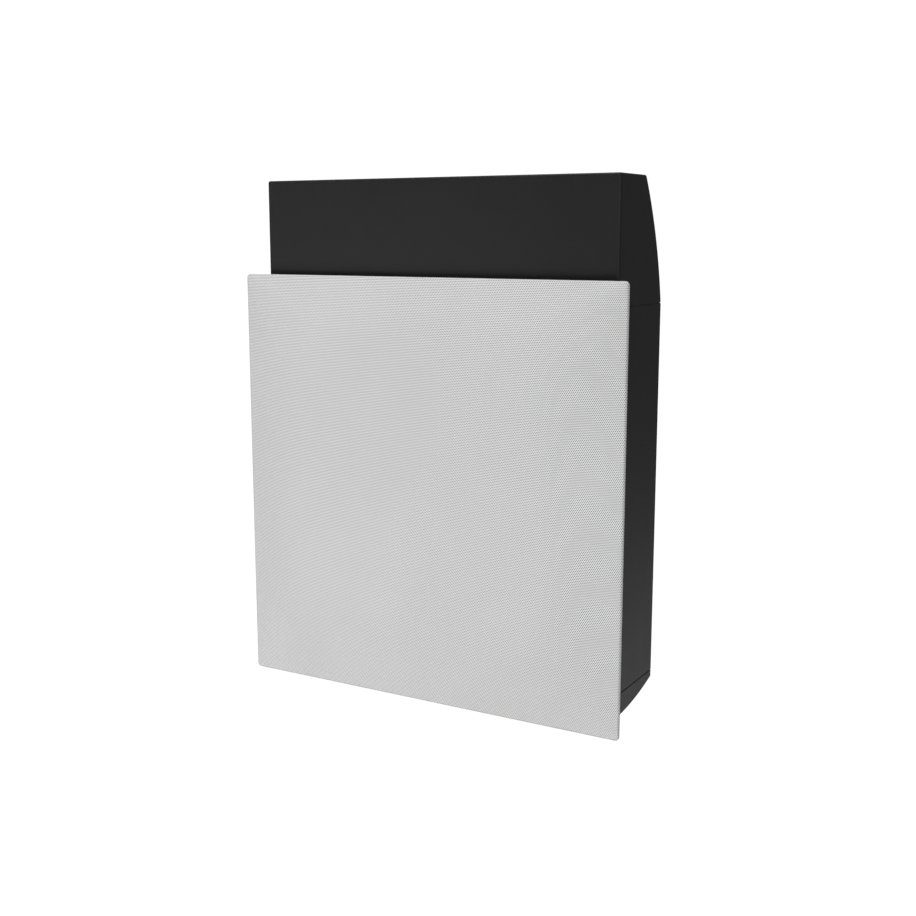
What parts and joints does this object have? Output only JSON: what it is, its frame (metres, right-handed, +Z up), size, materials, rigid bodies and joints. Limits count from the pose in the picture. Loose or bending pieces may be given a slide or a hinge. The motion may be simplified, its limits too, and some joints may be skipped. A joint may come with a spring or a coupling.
{
  "type": "in-wall speaker",
  "caption": "In-wall loudspeaker: square crowned perforated grille held by magnets over a woofer and a dome tweeter, on a slim sealed back box that curves forward at the top.",
  "frame": {"origin": "centre of the square front frame, on the plane of the wall surface (rear face of the flange)", "axes": "+X to the right as seen from the room, +Y into the wall, +Z up"},
  "size_m": [0.39, 0.1269, 0.4766],
  "materials": {
    "grille_steel": "matt light grey powder coat on perforated sheet",
    "scrim_cloth": "fine black acoustic cloth",
    "box_steel": "matt black powder coat",
    "black_moulding": "matt black moulded plastic",
    "frame_moulding": "black moulded plastic, fine spark texture",
    "seal_foam": "closed-cell black foam",
    "black_screw": "black oxide",
    "zinc_screw": "bright zinc",
    "fibreboard": "fibreboard sealed with black paint",
    "brace_board": "raw fibreboard",
    "wadding": "off-white polyester wadding",
    "basket_alloy": "cast alloy, dark grey paint",
    "surround_rubber": "satin butyl rubber",
    "cone_sheet": "mineral-filled cone sheet, satin dark grey",
    "spider_cloth": "resin-treated woven cloth",
    "former_sheet": "bare foil",
    "copper_wire": "enamelled copper winding",
    "plated_steel": "zinc-plated steel",
    "ferrite": "sintered ferrite",
    "nickel": "bright nickel",
    "brass": "bright brass",
    "fibre_strip": "brown laminate",
    "lead_braid": "woven tinsel",
    "dome_silk": "coated silk",
    "board_laminate": "green solder mask",
    "film_can": "film capacitor wrap",
    "resistor_body": "cement case",
    "wire_insulation": "soft insulation",
    "red_cap": "red moulding",
    "black_cap": "black moulding"
  },
  "bodies": {
    "enclosure": {"front_frame": "frame_moulding", "grille_magnets": "nickel", "frame_seal": "seal_foam", "frame_screws": "zinc_screw", "body_tube": "box_steel", "top_cap": "black_moulding", "bottom_cap": "black_moulding", "cap_seals": "seal_foam", "cap_screws": "zinc_screw", "baffle": "fibreboard", "baffle_seal": "seal_foam", "baffle_screws": "black_screw", "braces": "brace_board", "damping_back": "wadding", "damping_top": "wadding", "woofer_basket": "basket_alloy", "woofer_seal": "seal_foam", "woofer_screws": "black_screw", "woofer_trim_ring": "surround_rubber", "woofer_surround": "surround_rubber", "woofer_spider": "spider_cloth", "woofer_top_plate": "plated_steel", "woofer_magnet": "ferrite", "woofer_yoke": "plated_steel", "woofer_terminal_strip": "fibre_strip", "woofer_tags": "brass", "woofer_leads": "lead_braid", "tweeter_faceplate": "black_moulding", "tweeter_seal": "seal_foam", "tweeter_screws": "black_screw", "tweeter_surround": "dome_silk", "tweeter_top_plate": "plated_steel", "tweeter_magnet": "ferrite", "tweeter_yoke": "plated_steel", "tweeter_terminals": "fibre_strip", "crossover_board": "board_laminate", "crossover_inductors": "copper_wire", "crossover_capacitors": "film_can", "crossover_resistor": "resistor_body", "crossover_standoffs": "brass", "crossover_screws": "zinc_screw", "terminal_cup": "black_moulding", "terminal_seal": "seal_foam", "terminal_screws": "black_screw", "terminal_posts": "brass", "terminal_springs": "zinc_screw", "input_wires": "wire_insulation", "woofer_wires": "wire_insulation", "tweeter_wires": "wire_insulation"},
    "woofer_diaphragm": {"woofer_cone": "cone_sheet", "woofer_dust_cap": "cone_sheet", "woofer_former": "former_sheet", "woofer_coil": "copper_wire"},
    "tweeter_diaphragm": {"tweeter_dome": "dome_silk", "tweeter_coil": "copper_wire"},
    "grille_panel": {"grille": "grille_steel", "grille_scrim": "scrim_cloth"},
    "push_cap_red": {"terminal_cap_red": "red_cap"},
    "push_cap_black": {"terminal_cap_black": "black_cap"}
  },
  "joints": [
    {"name": "grille_pull", "type": "slide", "parent": "enclosure", "child": "grille_panel", "axis": [0, -1, 0], "range_m": [0, 0.06]},
    {"name": "woofer_throw", "type": "slide", "parent": "enclosure", "child": "woofer_diaphragm", "axis": [0, -1, 0], "range_m": [-0.006, 0.006], "stiffness_N_per_m": 2000, "deforming": ["woofer_surround", "woofer_spider", "woofer_leads"]},
    {"name": "tweeter_throw", "type": "slide", "parent": "enclosure", "child": "tweeter_diaphragm", "axis": [0, -1, 0], "range_m": [-0.0005, 0.0005], "stiffness_N_per_m": 4000, "deforming": ["tweeter_surround"]},
    {"name": "red_cap_push", "type": "slide", "parent": "enclosure", "child": "push_cap_red", "axis": [0, 0, -1], "range_m": [0, 0.004], "stiffness_N_per_m": 800, "springref_m": -0.003, "deforming": ["terminal_springs"]},
    {"name": "black_cap_push", "type": "slide", "parent": "enclosure", "child": "push_cap_black", "axis": [0, 0, -1], "range_m": [0, 0.004], "stiffness_N_per_m": 800, "springref_m": -0.003}
  ]
}
